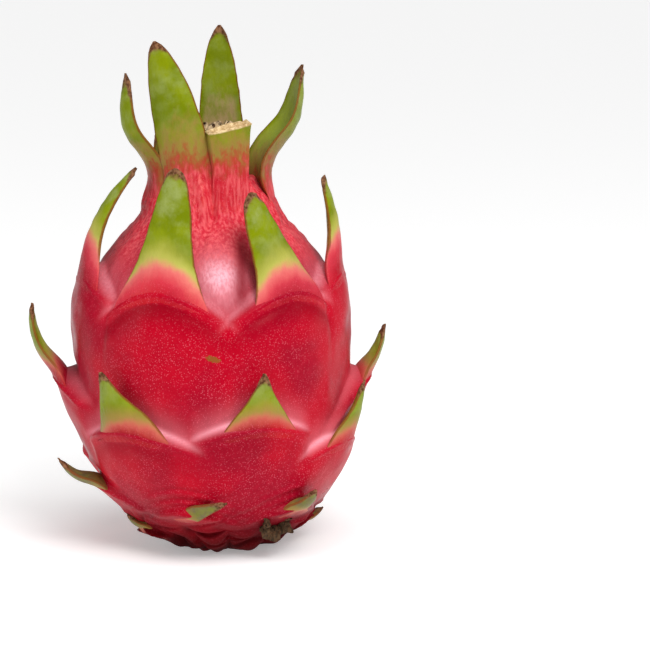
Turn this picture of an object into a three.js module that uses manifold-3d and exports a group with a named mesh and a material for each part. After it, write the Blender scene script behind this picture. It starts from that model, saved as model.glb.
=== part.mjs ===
// A whole dragon fruit (pitaya) standing on the small flat spot beside its stem scar.
// Millimetres, +Z up. The origin is the centre of that flat spot and the front faces -Y.
// Azimuths are in degrees round the fruit: 0 is the front and 90 is the +X side.
import * as THREE from "three";
import { mergeVertices } from "three/addons/utils/BufferGeometryUtils.js";
import Module from "manifold-3d";

// --- Driving dimensions -----------------------------------------------------------------
const BODY_HEIGHT = 113; // flat spot to the rim of the neck
const BODY_RADIUS = 41; // at the widest place, in the hollows between the scale shoulders
const REST_RADIUS = 13; // the flat spot
const BODY_LEAN = 2.8; // how far the axis of the body sits towards -X of the flat spot
const NECK_RADIUS = 16.8; // rim of the neck that carries the crown
const CUP_RADIUS = 7.3; // hollow inside the neck, which holds the dried flower
const CUP_DEPTH = 7;
const GAP = 0.3; // clearance between neighbouring solids

const SCALE_SINK = 3; // how deep a scale's root starts inside the body before it is trimmed
const SCALE_EDGE = 1.0; // thickness along a scale's edge
const ARCH_POWER = 1.7; // a shoulder's edge drops by its tier's drop times (distance from the scale) ** this
const EDGE_WIDTH = 2.4; // distance over which a shoulder steps down behind its edge

// rise is how far a piece ends above the neck's rim, and sink how far below it its root starts.
const CUT_SCALE = { azimuth: 23, width: 12.6, thickness: 6, rise: 15, sink: 10, tilt: 12 };
const FLOWER = { clearance: 0.8, rise: 15.6, tooth: 1.6, teeth: 7 }; // clearance: all round in the cup
const STEM = { azimuth: 35, radius: 5.2, length: 16, proud: 1, height: 12, droop: 20 }; // proud of the wall

// Each tier's shoulders: how far one stands out, how far it spreads to each side, how far down
// it fades, and how fast its edge drops away from the scale. Each tier's scales: thick is the
// thickness at the root; flare is the share of the width that a scale only has near its root and
// flareTo how far along that reaches; full is how long it stays wide, and blunt how blunt its
// tip is (nearer 0 is blunter).
const TIERS = {
  crown: { shoulder: 1.2, spread: 9, run: 20, drop: 0.03, thick: 4.2, flare: 0, flareTo: 0.3, full: 2.8, blunt: 0.6 },
  upper: { shoulder: 4.6, spread: 21, run: 36, drop: 0.065, thick: 4.8, flare: 0.3, flareTo: 0.4, full: 1, blunt: 0.42 },
  middle: { shoulder: 5, spread: 22, run: 32, drop: 0.055, thick: 4.8, flare: 0.35, flareTo: 0.5, full: 1, blunt: 0.5 },
  lower: { shoulder: 4, spread: 21, run: 24, drop: 0.04, thick: 4, flare: 0.35, flareTo: 0.5, full: 1, blunt: 0.55 },
  base: { shoulder: 2.4, spread: 13, run: 12, drop: 0.05, thick: 3.6, flare: 0.25, flareTo: 0.5, full: 1, blunt: 0.55 },
};

// rise is the root's height as a share of BODY_HEIGHT. leave and arrive are a scale's slopes at
// its root and its tip, in degrees outwards from straight up; sway adds to the slope a little
// before half way along; lean turns the scale sideways, towards larger azimuths.
const SCALES = [
  // name, tier, azimuth, rise, length, width, leave, arrive, sway, lean
  ["crown_scale_front_left", "crown", -13, 0.955, 50.5, 16.2, -8, 2, 0, -14.5],
  ["crown_scale_left", "crown", -70, 0.955, 41.5, 15, -7, -12, 46, -4],
  ["crown_scale_back_left", "crown", -124, 0.955, 21, 13, 2, 0, 0, 0],
  ["crown_scale_back", "crown", 168, 0.955, 53, 14.5, -8, -8, 0, 0],
  ["crown_scale_right", "crown", 105, 0.955, 43.5, 20, -16, 2, 48, 0],
  ["upper_scale_left", "upper", -73, 0.765, 38, 24, -4, -52, 0, 2],
  ["upper_scale_front_left", "upper", -20, 0.745, 38, 29, -20, -10, 0, 4],
  ["upper_scale_front_right", "upper", 38, 0.742, 33, 27, -20, -10, 0, -19.5],
  ["upper_scale_right", "upper", 80, 0.765, 31, 22, 6, -26, 0, 0],
  ["upper_scale_back_right", "upper", 149, 0.70, 31, 24, -24, -18, 0, 4],
  ["upper_scale_back_left", "upper", -142, 0.715, 31, 24, -24, -18, 0, -5],
  ["middle_scale_left", "middle", -84, 0.485, 25, 23, 52, -14, 0, 0],
  ["middle_scale_right", "middle", 96, 0.475, 17, 20, 40, 0, 0, 4],
  ["middle_scale_back_right", "middle", 156, 0.46, 26, 22, 16, 2, 0, -6],
  ["middle_scale_back_left", "middle", -150, 0.45, 26, 21, 20, 0, 0, 6],
  ["lower_scale_front_left", "lower", -33, 0.38, 20.5, 28, 12, 0, 0, -18],
  ["lower_scale_front_right", "lower", 21, 0.4, 18, 26, 10, 0, 0, 0],
  ["lower_scale_right", "lower", 66, 0.33, 20, 20, 24, 2, 0, 8],
  ["lower_scale_back_right", "lower", 120, 0.3, 19, 20, 30, 0, 0, -6],
  ["lower_scale_back", "lower", 180, 0.26, 18, 20, 34, 4, 0, 4],
  ["lower_scale_back_left", "lower", -116, 0.28, 19, 20, 30, 2, 0, 0],
  ["base_scale_left", "base", -72, 0.2, 16, 18, 91, 18, 0, 0],
  ["base_scale_front", "base", -15, 0.158, 16, 8.5, 34, 20, 0, 64],
  ["base_scale_front_right", "base", 44, 0.16, 11, 15, 70, 20, 0, 0],
  ["base_scale_back_right", "base", 148, 0.13, 12, 16, 72, 14, 0, 0],
  ["base_scale_back_left", "base", -146, 0.13, 12, 16, 74, 14, 0, 0],
  ["base_scale_low_left", "base", -62, 0.065, 8.6, 13, 84, 16, 0, 0],
  ["base_scale_low_back", "base", 96, 0.065, 8, 11, 80, 30, 0, 0],
].map(([name, tier, azimuth, rise, length, width, leave, arrive, sway, lean]) =>
  ({ name, tier, azimuth, rise, length, width, leave, arrive, sway, lean }));

// --- Mesh resolution --------------------------------------------------------------------
const BODY_SEGMENTS = 64;
const WALL_RINGS = 38;
const SCALE_STATIONS = 9;
const SCALE_ACROSS = 5; // points across each face of a scale

// --- Materials --------------------------------------------------------------------------
const paint = (color, roughness) => new THREE.MeshStandardMaterial({ color, roughness, metalness: 0 });
const SKIN = paint(0xd01c3c, 0.38);
const SCALE_GREEN = paint(0x8a9a2e, 0.5);
const DRIED = paint(0x8a6440, 0.85);

// --- Small helpers ----------------------------------------------------------------------
const rad = THREE.MathUtils.degToRad;
const { smoothstep, lerp } = THREE.MathUtils;
const outward = (azimuth) => new THREE.Vector3(Math.sin(rad(azimuth)), -Math.cos(rad(azimuth)), 0);
const sideways = (azimuth) => new THREE.Vector3(Math.cos(rad(azimuth)), Math.sin(rad(azimuth)), 0);
const UP = new THREE.Vector3(0, 0, 1);

// The signed angle from azimuth b to azimuth a, in degrees, from -180 to 180.
const turn = (a, b) => THREE.MathUtils.euclideanModulo(a - b + 180, 360) - 180;

// A closed mesh from rings of points. Each ring runs the same way round, and the two ends are
// closed by fans about their centres.
function fromRings(rings) {
  const count = rings[0].length;
  const points = rings.flat();
  const index = [];
  for (let i = 0; i + 1 < rings.length; i++) {
    for (let j = 0; j < count; j++) {
      const [a, b] = [i * count + j, i * count + ((j + 1) % count)];
      index.push(a, b, b + count, a, b + count, a + count);
    }
  }
  const capEnd = (ring, start, flip) => {
    const middle = ring.reduce((sum, p) => sum.add(p), new THREE.Vector3()).divideScalar(count);
    points.push(middle);
    for (let j = 0; j < count; j++) {
      const edge = [start + j, start + ((j + 1) % count)];
      index.push(points.length - 1, ...(flip ? edge.reverse() : edge));
    }
  };
  capEnd(rings[0], 0, true);
  capEnd(rings.at(-1), (rings.length - 1) * count, false);
  const geometry = new THREE.BufferGeometry().setFromPoints(points);
  geometry.setIndex(index);
  return geometry;
}

// --- The body ---------------------------------------------------------------------------
// The wall's outline from the flat spot to the neck's rim, as (radius, height).
const wall = new THREE.SplineCurve([
  [REST_RADIUS, 0],
  [0.42 * BODY_RADIUS, 0.012 * BODY_HEIGHT],
  [0.55 * BODY_RADIUS, 0.055 * BODY_HEIGHT],
  [0.76 * BODY_RADIUS, 0.13 * BODY_HEIGHT],
  [0.92 * BODY_RADIUS, 0.24 * BODY_HEIGHT],
  [0.99 * BODY_RADIUS, 0.38 * BODY_HEIGHT],
  [BODY_RADIUS, 0.52 * BODY_HEIGHT],
  [0.955 * BODY_RADIUS, 0.65 * BODY_HEIGHT],
  [0.84 * BODY_RADIUS, 0.765 * BODY_HEIGHT],
  [0.66 * BODY_RADIUS, 0.845 * BODY_HEIGHT],
  [1.25 * NECK_RADIUS, 0.9 * BODY_HEIGHT],
  [1.09 * NECK_RADIUS, 0.955 * BODY_HEIGHT],
  [NECK_RADIUS, BODY_HEIGHT],
].map(([radius, height]) => new THREE.Vector2(radius, height)));

// Where the body's axis is at a height.
const axisX = (height) => -BODY_LEAN * smoothstep(height, 0, 0.45 * BODY_HEIGHT);

// How far the shoulders of the scales raise the wall at a place: like roof tiles, each shoulder
// is highest along its arched upper edge, steps down behind it and fades out below.
function shoulderRise(azimuth, height, radius) {
  let rise = 0;
  for (const scale of SCALES) {
    const { shoulder, spread, run, drop } = TIERS[scale.tier];
    const across = Math.abs(rad(turn(azimuth, scale.azimuth))) * radius;
    const edge = scale.rise * BODY_HEIGHT - drop * across ** ARCH_POWER;
    const below = edge - height;
    const step = smoothstep(below, -EDGE_WIDTH, EDGE_WIDTH / 2);
    const fade = 1 - smoothstep(below, 0, run);
    const side = Math.exp(-((across / spread) ** 2));
    rise = Math.max(rise, shoulder * step * fade * side);
  }
  return rise;
}

// A point on the body's wall, grown outwards by grow.
function wallPoint(azimuth, share, grow = 0) {
  const { x: radius, y: height } = wall.getPoint(share);
  const settled = smoothstep(height, 0, 0.06 * BODY_HEIGHT); // the flat spot has no shoulders
  const reach = radius + settled * shoulderRise(azimuth, height, radius) + grow;
  return outward(azimuth).multiplyScalar(reach).add(new THREE.Vector3(axisX(height), 0, height));
}

// The wall's share at a height, by bisection, since the wall rises all the way.
function shareAt(height) {
  let [low, high] = [0, 1];
  for (let i = 0; i < 30; i++) {
    const middle = (low + high) / 2;
    if (wall.getPoint(middle).y < height) low = middle;
    else high = middle;
  }
  return (low + high) / 2;
}

function bodyGeometry(grow = 0) {
  const azimuths = Array.from({ length: BODY_SEGMENTS }, (_, i) => (i * 360) / BODY_SEGMENTS);
  const rings = [];
  for (let i = 0; i <= WALL_RINGS; i++) rings.push(azimuths.map((a) => wallPoint(a, i / WALL_RINGS, grow)));
  rings[0].forEach((p) => (p.z -= grow));
  rings.at(-1).forEach((p) => (p.z += grow));
  // The cup in the neck, which holds the dried flower.
  const cup = (radius, drop) => azimuths.map((a) =>
    outward(a).multiplyScalar(radius - grow).add(new THREE.Vector3(axisX(BODY_HEIGHT), 0, BODY_HEIGHT - drop + grow)));
  rings.push(cup(CUP_RADIUS, 0), cup(CUP_RADIUS, CUP_DEPTH));
  return fromRings(rings);
}

// --- The scales -------------------------------------------------------------------------
// The width along a scale as a share, from 1 at its root to 0 at its tip.
const scaleOutline = (t, { flare, flareTo, full, blunt }) =>
  flare * Math.max(0, 1 - t / flareTo) ** 2 + (1 - flare) * Math.max(0, 1 - t ** full) ** blunt;

function scaleGeometry(scale, grow = 0) {
  const { azimuth, length, width, leave, arrive, sway, lean, tier } = scale;
  const { thick, drop } = TIERS[tier];
  const [out, side] = [outward(azimuth), sideways(azimuth)];
  const root = wallPoint(azimuth, shareAt(scale.rise * BODY_HEIGHT - EDGE_WIDTH));
  const bend = root.clone().setZ(0).length(); // radius that the root wraps round
  const steps = (SCALE_STATIONS - 1) * 4;
  const spot = root.clone().addScaledVector(out, -SCALE_SINK);
  const rings = [];
  for (let i = 0; i <= steps; i++) {
    const t = i / steps;
    const slope = rad(lerp(leave, arrive, t) + sway * Math.exp(-(((t - 0.42) / 0.24) ** 2)));
    const along = out.clone().multiplyScalar(Math.sin(slope)).addScaledVector(UP, Math.cos(slope));
    along.addScaledVector(side, Math.tan(rad(lean))).normalize();
    const across = side.clone().addScaledVector(along, -side.dot(along)).normalize();
    const face = new THREE.Vector3().crossVectors(across, along).normalize();
    if (i % 4 === 0) {
      const half = Math.max(0.4, (width / 2) * scaleOutline(t, TIERS[tier])) + grow;
      const depth = lerp(1.6, thick, (1 - t) ** 0.9);
      const curve = (half * half) / (2 * bend) + 0.12 * half; // how far the edges fold back
      const droop = drop * half ** ARCH_POWER * (1 - smoothstep(t, 0, 0.5));
      const place = (u, inner) => {
        const thickness = inner ? SCALE_EDGE + (depth - SCALE_EDGE) * (1 - u * u) + grow : -grow;
        return spot.clone()
          .addScaledVector(across, half * u)
          .addScaledVector(face, -curve * u * u - thickness)
          .addScaledVector(along, -droop * u * u);
      };
      const us = Array.from({ length: SCALE_ACROSS }, (_, k) => (2 * k) / (SCALE_ACROSS - 1) - 1);
      rings.push([...us.map((u) => place(u, false)), ...us.toReversed().map((u) => place(u, true))]);
    }
    // The first stretch also climbs from the sunk root to the surface of the shoulder.
    const climb = t < 0.25 ? (SCALE_SINK / (0.25 * steps)) : 0;
    spot.addScaledVector(along, length / steps).addScaledVector(out, climb);
  }
  return fromRings(rings);
}

// --- The cut scale, the dried flower and the stem -----------------------------------------
function cutScaleGeometry(grow = 0) {
  const { azimuth, width, thickness, rise, sink, tilt } = CUT_SCALE;
  const [root, top] = [BODY_HEIGHT - sink, BODY_HEIGHT + rise];
  const [out, side] = [outward(azimuth), sideways(azimuth)];
  const ring = (height, half, slant) => {
    const points = [];
    const edge = (u, depth) => out.clone()
      .multiplyScalar(NECK_RADIUS + 0.6 - 0.035 * (half * u) ** 2 - depth)
      .addScaledVector(side, half * u)
      .add(new THREE.Vector3(axisX(height), 0, height + slant * half * u));
    for (const u of [-1, -0.5, 0, 0.5, 1]) points.push(edge(u, -grow));
    for (const u of [1, 0.5, 0, -0.5, -1]) points.push(edge(u, thickness * (1 - 0.35 * u * u) + grow));
    return points;
  };
  const half = width / 2 + grow;
  return fromRings([
    ring(root, half * 1.1, 0),
    ring(lerp(root, top, 0.35), half, 0),
    ring(lerp(root, top, 0.7), half * 0.92, 0),
    ring(top + grow, half, Math.tan(rad(tilt))),
  ]);
}

function flowerGeometry() {
  const floor = BODY_HEIGHT - CUP_DEPTH + GAP;
  const centre = new THREE.Vector3(axisX(BODY_HEIGHT), 0, 0);
  const count = FLOWER.teeth * 4;
  const ring = (share, height, ragged) => Array.from({ length: count }, (_, j) => {
    const azimuth = (j * 360) / count;
    const tooth = ragged ? FLOWER.tooth * Math.cos(rad(azimuth * FLOWER.teeth)) : 0;
    return outward(azimuth).multiplyScalar(radius * share).add(centre).setZ(height + tooth);
  });
  const radius = CUP_RADIUS - FLOWER.clearance;
  const tall = BODY_HEIGHT + FLOWER.rise - FLOWER.tooth;
  return fromRings([
    ring(0.9, floor, false),
    ring(1, lerp(floor, tall, 0.5), false),
    ring(0.95, tall, true),
    ring(0.6, tall - FLOWER.tooth, true),
    ring(0.5, tall - 3 * FLOWER.tooth, false),
  ]);
}

function stemGeometry() {
  const [out, side] = [outward(STEM.azimuth), sideways(STEM.azimuth)];
  const along = out.clone().multiplyScalar(Math.cos(rad(STEM.droop))).addScaledVector(UP, -Math.sin(rad(STEM.droop)));
  const over = new THREE.Vector3().crossVectors(along, side);
  const reach = wall.getPoint(shareAt(STEM.height)).x + STEM.proud;
  const start = out.clone().multiplyScalar(reach).setZ(STEM.height).addScaledVector(along, -STEM.length);
  const ring = (distance, radius) => Array.from({ length: 14 }, (_, j) => {
    const angle = (j * 2 * Math.PI) / 14;
    return start.clone().addScaledVector(along, distance)
      .addScaledVector(side, radius * Math.cos(angle))
      .addScaledVector(over, radius * Math.sin(angle));
  });
  return fromRings([
    ring(0, STEM.radius * 0.85),
    ring(STEM.length * 0.7, STEM.radius * 0.9),
    ring(STEM.length, STEM.radius),
  ]);
}

// --- Solids: trim each piece by its neighbours, so that they meet and don't overlap --------
const wasm = await Module();
wasm.setup();

function toSolid(geometry) {
  const bare = new THREE.BufferGeometry();
  bare.setAttribute("position", geometry.getAttribute("position"));
  bare.setIndex(geometry.getIndex());
  const merged = mergeVertices(bare, 1e-4);
  return new wasm.Manifold(new wasm.Mesh({
    numProp: 3,
    vertProperties: merged.getAttribute("position").array,
    triVerts: new Uint32Array(merged.getIndex().array),
  }));
}

function toGeometry(solid) {
  const { vertProperties, triVerts } = solid.getMesh();
  const geometry = new THREE.BufferGeometry();
  geometry.setAttribute("position", new THREE.BufferAttribute(vertProperties, 3));
  geometry.setIndex(new THREE.BufferAttribute(triVerts, 1));
  geometry.computeVertexNormals();
  return geometry;
}

// The largest piece that is left of a solid once the cutters are taken away.
function trimmed(solid, cutters) {
  const left = cutters.reduce((rest, cutter) => rest.subtract(cutter), solid);
  return left.decompose().sort((a, b) => b.volume() - a.volume())[0];
}

const fruit = new THREE.Group();
fruit.name = "dragon_fruit";

function add(name, solid, material) {
  const mesh = new THREE.Mesh(toGeometry(solid), material);
  mesh.name = name;
  fruit.add(mesh);
}

const body = toSolid(bodyGeometry());
const bodyCutter = toSolid(bodyGeometry(GAP));
add("fruit_body", body, SKIN);

const cutters = [bodyCutter];
add("cut_scale", trimmed(toSolid(cutScaleGeometry()), cutters), SCALE_GREEN);
cutters.push(toSolid(cutScaleGeometry(GAP)));
for (const scale of SCALES) {
  add(scale.name, trimmed(toSolid(scaleGeometry(scale)), cutters), SCALE_GREEN);
  cutters.push(toSolid(scaleGeometry(scale, GAP)));
}
add("dried_flower", trimmed(toSolid(flowerGeometry()), cutters), DRIED);
add("stem_stub", trimmed(toSolid(stemGeometry()), [bodyCutter]), DRIED);

export default fruit;
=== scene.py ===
"""A whole dragon fruit on a pale floor. Shapes are worked out in millimetres and stored in metres."""

import math

import bpy
import numpy as np
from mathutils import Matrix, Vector


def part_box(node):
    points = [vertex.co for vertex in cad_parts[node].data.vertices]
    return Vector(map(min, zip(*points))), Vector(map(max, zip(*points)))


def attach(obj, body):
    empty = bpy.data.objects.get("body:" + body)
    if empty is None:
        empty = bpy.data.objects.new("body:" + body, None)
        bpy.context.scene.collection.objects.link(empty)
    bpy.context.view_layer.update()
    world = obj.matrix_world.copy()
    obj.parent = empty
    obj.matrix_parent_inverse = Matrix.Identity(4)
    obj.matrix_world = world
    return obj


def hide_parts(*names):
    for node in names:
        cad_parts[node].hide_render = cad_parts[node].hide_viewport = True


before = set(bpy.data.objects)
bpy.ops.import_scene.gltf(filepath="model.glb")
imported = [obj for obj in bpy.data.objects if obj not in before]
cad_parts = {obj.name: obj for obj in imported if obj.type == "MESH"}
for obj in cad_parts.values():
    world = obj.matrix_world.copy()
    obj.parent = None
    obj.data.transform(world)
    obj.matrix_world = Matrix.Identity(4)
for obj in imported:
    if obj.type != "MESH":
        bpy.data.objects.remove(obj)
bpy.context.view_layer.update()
MM = 0.001

# --- The fruit's dimensions, in millimetres and degrees ------------------------------------------
# These repeat the CAD part's driving dimensions, except the height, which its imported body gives.
BODY_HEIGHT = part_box("fruit_body")[1][2] / MM
BODY_RADIUS = 41.0
REST_RADIUS = 13.0
BODY_LEAN = 2.8
NECK_RADIUS = 16.8
CUP_RADIUS = 7.3
CUP_DEPTH = 7.0
EDGE_STEP = 2.4  # distance over which a shoulder steps down behind its edge

# A tier's shoulders: how far they stand out, spread sideways and run down; drop, how fast their edges
# fall away from the scale; rim, the height of the ridge along an edge; reach and pale, how far the
# pocket behind an edge goes and how pale it is, with a painted highlight along the edge; kick, how far
# the skin stands out under the root; fold, the strength of the fold under a wide scale and of the
# painted shade under it; brow, that of the ridges above a scale.
# A scale: thick, its thickness at the root; flare, the share of its width that it only has near its
# root, and flare_to, how far along that reaches; full, how long it stays wide; blunt, how blunt the
# tip is. Its colour: green, where the green starts in mm; fade, over how far the red gives way to
# it; dip, the share of that start that the rims lose. The thickness and the flare are a little more
# than the CAD solids have.
TIERS = {
    "crown": dict(
        shoulder=1.2, spread=9, run=20, drop=0.03, rim=0.0, reach=0, pale=0, kick=0.2, fold=0, brow=0,
        thick=4.4, flare=0.0, flare_to=0.3, full=2.8, blunt=0.6, green=11.5, fade=13.0, dip=0.2,
    ),
    "upper": dict(
        shoulder=4.6, spread=21, run=36, drop=0.065, rim=0.4, reach=15, pale=0.5, kick=0.6, fold=0.5, brow=0,
        thick=5.4, flare=0.36, flare_to=0.55, full=1.0, blunt=0.42, green=7.0, fade=8.0, dip=0.5,
    ),
    "middle": dict(
        shoulder=5.0, spread=22, run=32, drop=0.055, rim=0.7, reach=6, pale=0.2, kick=2.4, fold=0.3, brow=0,
        thick=5.0, flare=0.4, flare_to=0.6, full=1.0, blunt=0.5, green=3.0, fade=6.0, dip=0.8,
    ),
    "lower": dict(
        shoulder=4.0, spread=21, run=24, drop=0.040, rim=0.5, reach=6, pale=0.7, kick=1.0, fold=0.3, brow=0,
        thick=4.2, flare=0.6, flare_to=0.9, full=1.0, blunt=0.6, green=3.5, fade=5.5, dip=0.8,
    ),
    "base": dict(
        shoulder=2.4, spread=13, run=12, drop=0.050, rim=0.5, reach=0, pale=0, kick=1.6, fold=0, brow=1.2,
        thick=4.2, flare=0.4, flare_to=0.8, full=1.0, blunt=0.6, green=-0.5, fade=4.0, dip=0.5,
    ),
}

# Azimuth of the root, its height as a share of the body's, length, width, slopes at root and tip
# outwards from straight up, extra slope a little before half way along, and sideways lean.
SCALES = {
    "crown_scale_front_left": ("crown", -13, 0.955, 50.5, 16.2, -8, 2, 0, -14.5),
    "crown_scale_left": ("crown", -70, 0.955, 41.5, 15, -7, -12, 46, -4),
    "crown_scale_back_left": ("crown", -124, 0.955, 21, 13, 2, 0, 0, 0),
    "crown_scale_back": ("crown", 168, 0.955, 53, 14.5, -8, -8, 0, 0),
    "crown_scale_right": ("crown", 105, 0.955, 43.5, 20, -16, 2, 48, 0),
    "upper_scale_left": ("upper", -73, 0.765, 38, 24, -4, -52, 0, 2),
    "upper_scale_front_left": ("upper", -20, 0.745, 38, 29, -20, -10, 0, 4),
    "upper_scale_front_right": ("upper", 38, 0.742, 33, 27, -20, -10, 0, -19.5),
    "upper_scale_right": ("upper", 80, 0.765, 31, 22, 6, -26, 0, 0),
    "upper_scale_back_right": ("upper", 149, 0.70, 31, 24, -24, -18, 0, 4),
    "upper_scale_back_left": ("upper", -142, 0.715, 31, 24, -24, -18, 0, -5),
    "middle_scale_left": ("middle", -84, 0.485, 25, 23, 52, -14, 0, 0),
    "middle_scale_right": ("middle", 96, 0.475, 17, 20, 40, 0, 0, 4),
    "middle_scale_back_right": ("middle", 156, 0.46, 26, 22, 16, 2, 0, -6),
    "middle_scale_back_left": ("middle", -150, 0.45, 26, 21, 20, 0, 0, 6),
    "lower_scale_front_left": ("lower", -33, 0.38, 20.5, 28, 12, 0, 0, -18),
    "lower_scale_front_right": ("lower", 21, 0.4, 18, 26, 10, 0, 0, 0),
    "lower_scale_right": ("lower", 66, 0.33, 20, 20, 24, 2, 0, 8),
    "lower_scale_back_right": ("lower", 120, 0.3, 19, 20, 30, 0, 0, -6),
    "lower_scale_back": ("lower", 180, 0.26, 18, 20, 34, 4, 0, 4),
    "lower_scale_back_left": ("lower", -116, 0.28, 19, 20, 30, 2, 0, 0),
    "base_scale_left": ("base", -72, 0.2, 16, 18, 91, 18, 0, 0),
    "base_scale_front": ("base", -15, 0.158, 16, 8.5, 34, 20, 0, 64),
    "base_scale_front_right": ("base", 44, 0.16, 11, 15, 70, 20, 0, 0),
    "base_scale_back_right": ("base", 148, 0.13, 12, 16, 72, 14, 0, 0),
    "base_scale_back_left": ("base", -146, 0.13, 12, 16, 74, 14, 0, 0),
    "base_scale_low_left": ("base", -62, 0.065, 8.6, 13, 84, 16, 0, 0),
    "base_scale_low_back": ("base", 96, 0.065, 8, 11, 80, 30, 0, 0),
}
# root is a share of the body's height, and rise is how far the cut stands above the neck's rim.
CUT_SCALE = dict(azimuth=23, width=12.6, thickness=6, root=0.955, rise=15.0, tilt=12)
FLOWER = dict(radius=5.6, rise=14.4, floor_gap=0.6)
# out and height place the middle of the stub's cut end.
STEM = dict(azimuth=35, radius=5.0, out=30.0, height=12.0, droop=20)
# How much further along these scales the green starts, in mm. Below 0 is nearer the root.
GREEN_SHIFT = {"upper_scale_left": 4.0, "upper_scale_right": 4.0, "middle_scale_left": 3.0,
               "crown_scale_left": -5.0, "crown_scale_right": -3.5}
# Distance from the tip counts as this share for the brown there, so below 1 is a longer brown tip.
TIP_SHARE = {"crown_scale_left": 0.6, "crown_scale_right": 0.75}
SHORT_SCALE = 15  # scales up to this length use SHORT_TIP_SHARE
SHORT_TIP_SHARE = 1.8
HOLLOWED = ("base_scale_left", "middle_scale_left")  # the skin is hollow inside these, with painted shade in the hollow
BROWED = "base_scale_front"  # the skin above this scale has ridges, with painted shade in the creases between them
TANNED = "crown_scale_back"  # this scale's inner face is tan near its root
NECK_CREASES = (-45, 0, 50, 140, -168, -105)  # azimuths between the crown scales
POCKET_AZIMUTH = 7  # the widest pale pocket, between the two upper scales at the front, with a painted highlight at its palest
SHADOW_X = 7.4  # a deep red shadow beside the upper scale at the front right
SCAR_AZIMUTH = 3
SCAR_HEIGHT = 64.5
LOW_END = 24  # painted shade: the skin's colour darkens below this height

WALL = np.array([  # (radius, height) from the flat spot to the neck's rim
    (REST_RADIUS, 0),
    (0.42 * BODY_RADIUS, 0.012 * BODY_HEIGHT),
    (0.55 * BODY_RADIUS, 0.055 * BODY_HEIGHT),
    (0.76 * BODY_RADIUS, 0.13 * BODY_HEIGHT),
    (0.92 * BODY_RADIUS, 0.24 * BODY_HEIGHT),
    (0.99 * BODY_RADIUS, 0.38 * BODY_HEIGHT),
    (BODY_RADIUS, 0.52 * BODY_HEIGHT),
    (0.955 * BODY_RADIUS, 0.65 * BODY_HEIGHT),
    (0.84 * BODY_RADIUS, 0.765 * BODY_HEIGHT),
    (0.66 * BODY_RADIUS, 0.845 * BODY_HEIGHT),
    (1.25 * NECK_RADIUS, 0.9 * BODY_HEIGHT),
    (1.09 * NECK_RADIUS, 0.955 * BODY_HEIGHT),
    (NECK_RADIUS, BODY_HEIGHT),
])


# --- Small helpers --------------------------------------------------------------------------------
def smooth(x, low, high):
    t = np.clip((x - low) / (high - low), 0, 1)
    return t * t * (3 - 2 * t)


def hump(distance, width):
    """A bell-shaped hump, 1 at no distance."""
    return np.exp(-((distance / width) ** 2))


def waves(points, length, seed, count=14):
    """A smooth noise from about -1 to 1, as a sum of plane waves of about that length in mm."""
    rng = np.random.default_rng(seed)
    directions = rng.normal(size=(count, 3))
    directions /= np.linalg.norm(directions, axis=1)[:, None]
    steps = 2 * math.pi / length * rng.uniform(0.7, 1.4, count)
    phases = rng.uniform(0, 2 * math.pi, count)
    angles = points @ (directions * steps[:, None]).T + phases
    return np.cos(angles).sum(-1) / math.sqrt(count) * 0.75


def outward(azimuth):
    return np.stack([np.sin(azimuth), -np.cos(azimuth), 0 * azimuth], -1)


def sideways(azimuth):
    return np.stack([np.cos(azimuth), np.sin(azimuth), 0 * azimuth], -1)


def unit(v):
    return v / np.linalg.norm(v, axis=-1, keepdims=True)


# --- The body's surface ---------------------------------------------------------------------------
def wall_samples(per_span=24):
    """The wall's outline as a fine Catmull-Rom curve: radii and heights."""
    count = len(WALL)
    out = []
    for i in range(count - 1):
        p0, p1, p2, p3 = WALL[max(i - 1, 0)], WALL[i], WALL[i + 1], WALL[min(i + 2, count - 1)]
        t = np.linspace(0, 1, per_span, endpoint=False)[:, None]
        v0, v1 = (p2 - p0) / 2, (p3 - p1) / 2
        cubic = 2 * p1 - 2 * p2 + v0 + v1
        square = -3 * p1 + 3 * p2 - 2 * v0 - v1
        out.append(cubic * t**3 + square * t**2 + v0 * t + p1)
    return np.vstack(out + [WALL[-1:]])


WALL_FINE = wall_samples()


def wall_radius(height):
    return np.interp(height, WALL_FINE[:, 1], WALL_FINE[:, 0])


def axis_x(height):
    return -BODY_LEAN * smooth(height, 0, 0.45 * BODY_HEIGHT)


def turn_from(azimuth, centre):
    return (azimuth - math.radians(centre) + math.pi) % (2 * math.pi) - math.pi


def territory(name, azimuth):
    """1 where this scale is the nearest of those at about its height, and 0 past the half way line."""
    scale = SCALES[name]
    own = np.abs(turn_from(azimuth, scale[1]))
    share = np.ones_like(azimuth)
    for other, rival in SCALES.items():
        if other != name and abs(rival[2] - scale[2]) * BODY_HEIGHT < 14:
            share = share * smooth(np.abs(turn_from(azimuth, rival[1])) - own, -0.22, 0.10)
    return share


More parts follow.
